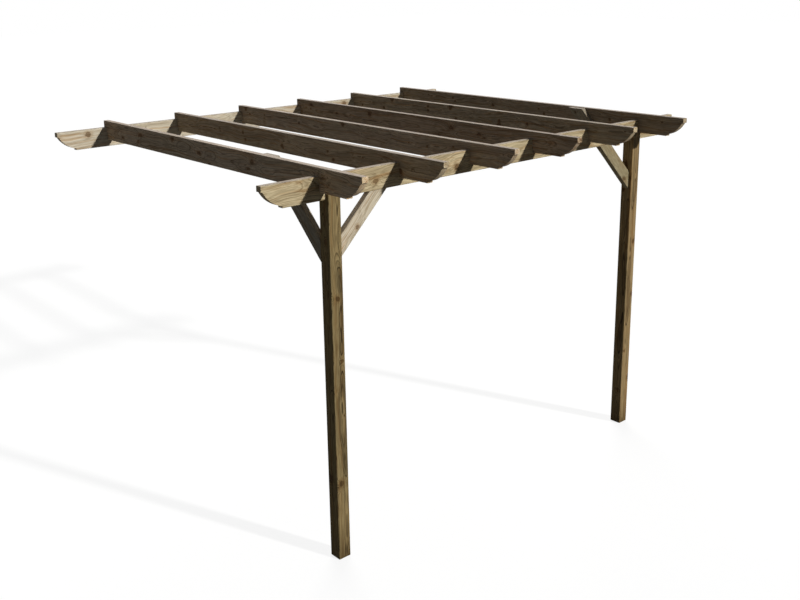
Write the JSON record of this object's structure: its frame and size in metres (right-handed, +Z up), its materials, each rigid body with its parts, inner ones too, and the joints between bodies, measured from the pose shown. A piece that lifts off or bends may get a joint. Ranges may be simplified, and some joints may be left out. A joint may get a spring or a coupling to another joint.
{
  "type": "wall-mounted wooden pergola",
  "caption": "Lean-to garden pergola of softwood: square posts carry a front beam, and rafters with shaped tips are lapped over it and over a wall ledger, with diagonal braces.",
  "frame": {"origin": "middle of the wall ledger's back face, which lies flat on the wall", "axes": "+X along the wall, to the right as seen from the garden; +Y into the wall; +Z up"},
  "size_m": [3.9, 3.1475, 2.54],
  "materials": {
    "post_timber": "sawn and planed softwood, pressure treated, uncoated",
    "beam_timber": "planed softwood, pressure treated, uncoated",
    "rafter_timber": "planed softwood, pressure treated, uncoated",
    "brace_timber": "planed softwood, pressure treated, uncoated"
  },
  "bodies": {
    "root": {"left_post": "post_timber", "right_post": "post_timber", "front_beam": "beam_timber", "wall_ledger": "beam_timber", "rafter_1": "rafter_timber", "rafter_2": "rafter_timber", "rafter_3": "rafter_timber", "rafter_4": "rafter_timber", "rafter_5": "rafter_timber", "rafter_6": "rafter_timber", "left_beam_brace": "brace_timber", "right_beam_brace": "brace_timber", "left_rafter_brace": "brace_timber", "right_rafter_brace": "brace_timber"}
  },
  "joints": []
}
